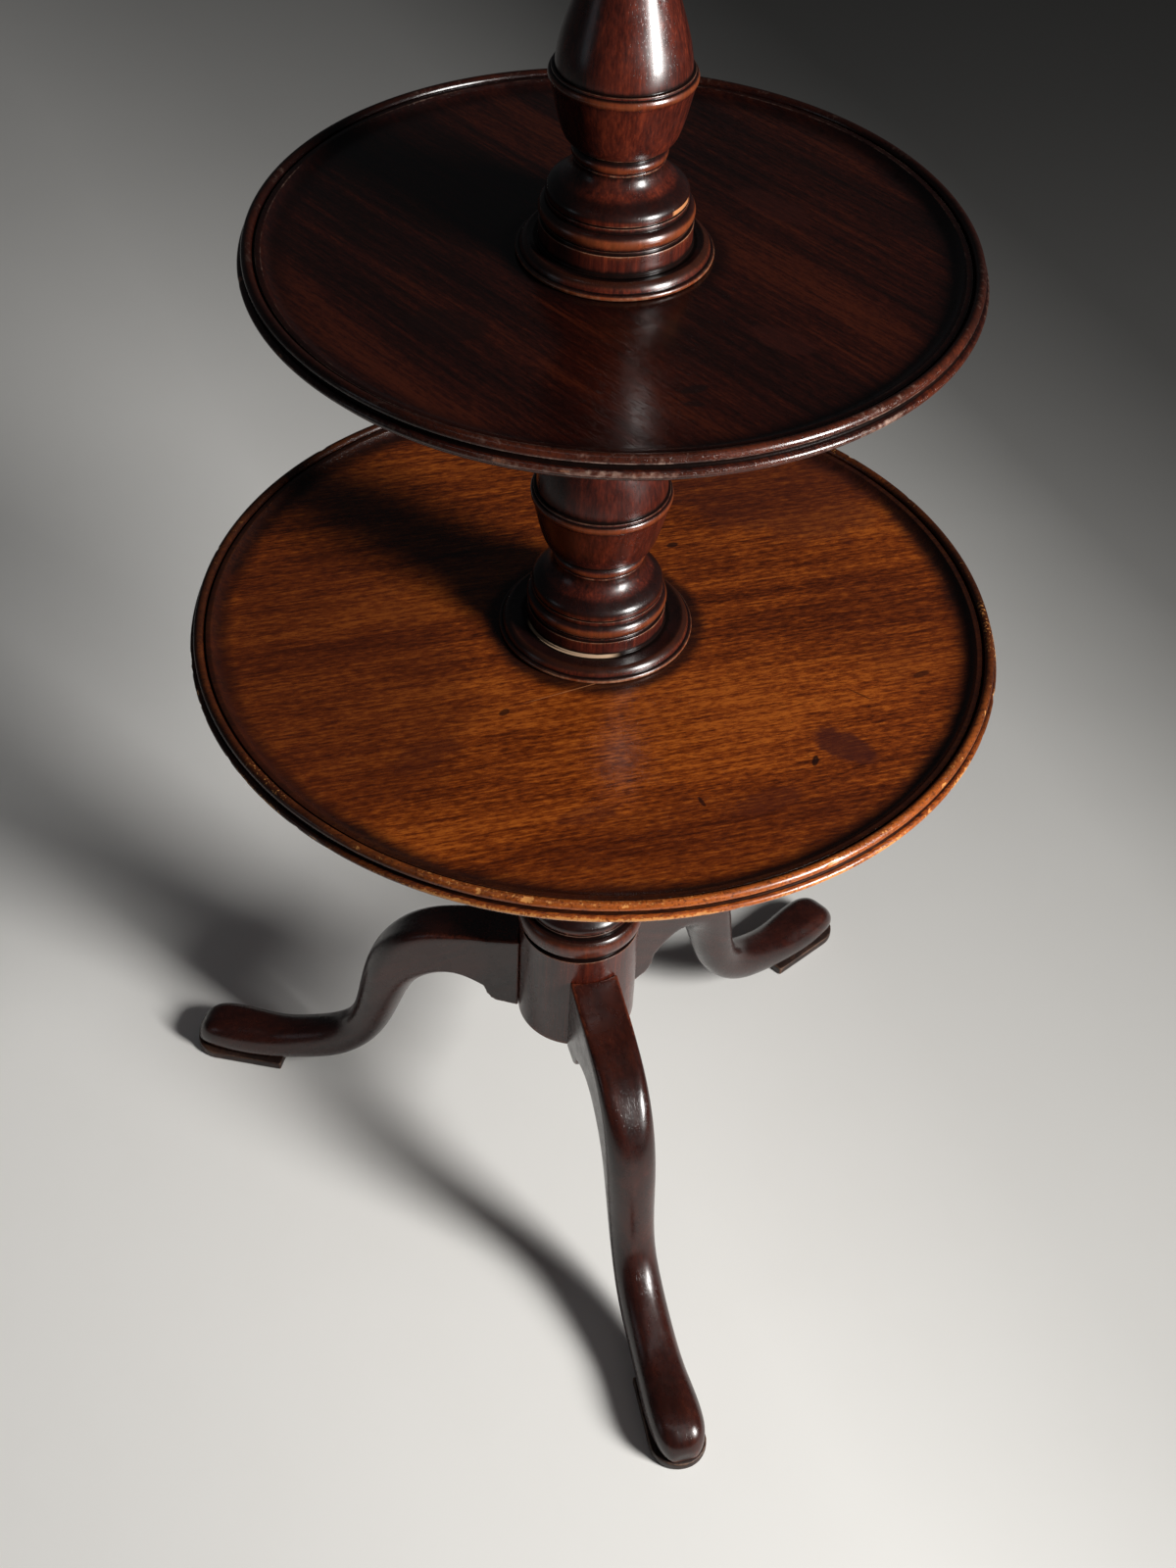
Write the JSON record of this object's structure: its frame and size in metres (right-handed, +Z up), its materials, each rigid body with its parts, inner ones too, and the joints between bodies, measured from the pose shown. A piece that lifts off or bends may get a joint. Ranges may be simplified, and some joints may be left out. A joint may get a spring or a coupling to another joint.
{
  "type": "three-tier dumb-waiter table",
  "caption": "Tiered side table of graduated round dished trays that revolve on a turned baluster column with cabriole tripod legs.",
  "frame": {"origin": "on the floor under the column's axis, level with the undersides of the three foot pads", "axes": "+Z up the column, -Y along the front leg, +X to the right"},
  "size_m": [0.6256, 0.6475, 1.196],
  "materials": {
    "column_mahogany": "french polished, deep red-brown, grime in the grooves",
    "leg_mahogany": "french polished, dark red-brown",
    "tray_mahogany": "worn polish, open grain, stains and a worn rim",
    "pad_wood": "dull, dirty end",
    "bearer_wood": "unpolished",
    "washer_leather": "compressed, waxed",
    "brace_iron": "forged, rust brown",
    "screw_steel": "dull old steel"
  },
  "bodies": {
    "stand": {"lower_pillar": "column_mahogany", "middle_column": "column_mahogany", "upper_column": "column_mahogany", "leg_brace": "brace_iron", "brace_screws": "screw_steel", "front_leg": "leg_mahogany", "right_leg": "leg_mahogany", "left_leg": "leg_mahogany", "front_foot_pad": "pad_wood", "right_foot_pad": "pad_wood", "left_foot_pad": "pad_wood", "bottom_washer": "washer_leather", "middle_washer": "washer_leather", "top_washer": "washer_leather"},
    "bottom_tier": {"bottom_tray": "tray_mahogany", "bottom_tray_boss": "bearer_wood", "bottom_boss_screws": "screw_steel"},
    "middle_tier": {"middle_tray": "tray_mahogany", "middle_tray_boss": "bearer_wood", "middle_boss_screws": "screw_steel"},
    "top_tier": {"top_tray": "tray_mahogany", "top_tray_boss": "bearer_wood", "top_boss_screws": "screw_steel"}
  },
  "joints": [
    {"name": "bottom_tray_turn", "type": "hinge", "parent": "stand", "child": "bottom_tier", "pos_m": [0, 0, 0.5825], "axis": [0, 0, 1], "continuous": true},
    {"name": "middle_tray_turn", "type": "hinge", "parent": "stand", "child": "middle_tier", "pos_m": [0, 0, 0.8865], "axis": [0, 0, 1], "continuous": true},
    {"name": "top_tray_turn", "type": "hinge", "parent": "stand", "child": "top_tier", "pos_m": [0, 0, 1.1765], "axis": [0, 0, 1], "continuous": true}
  ]
}
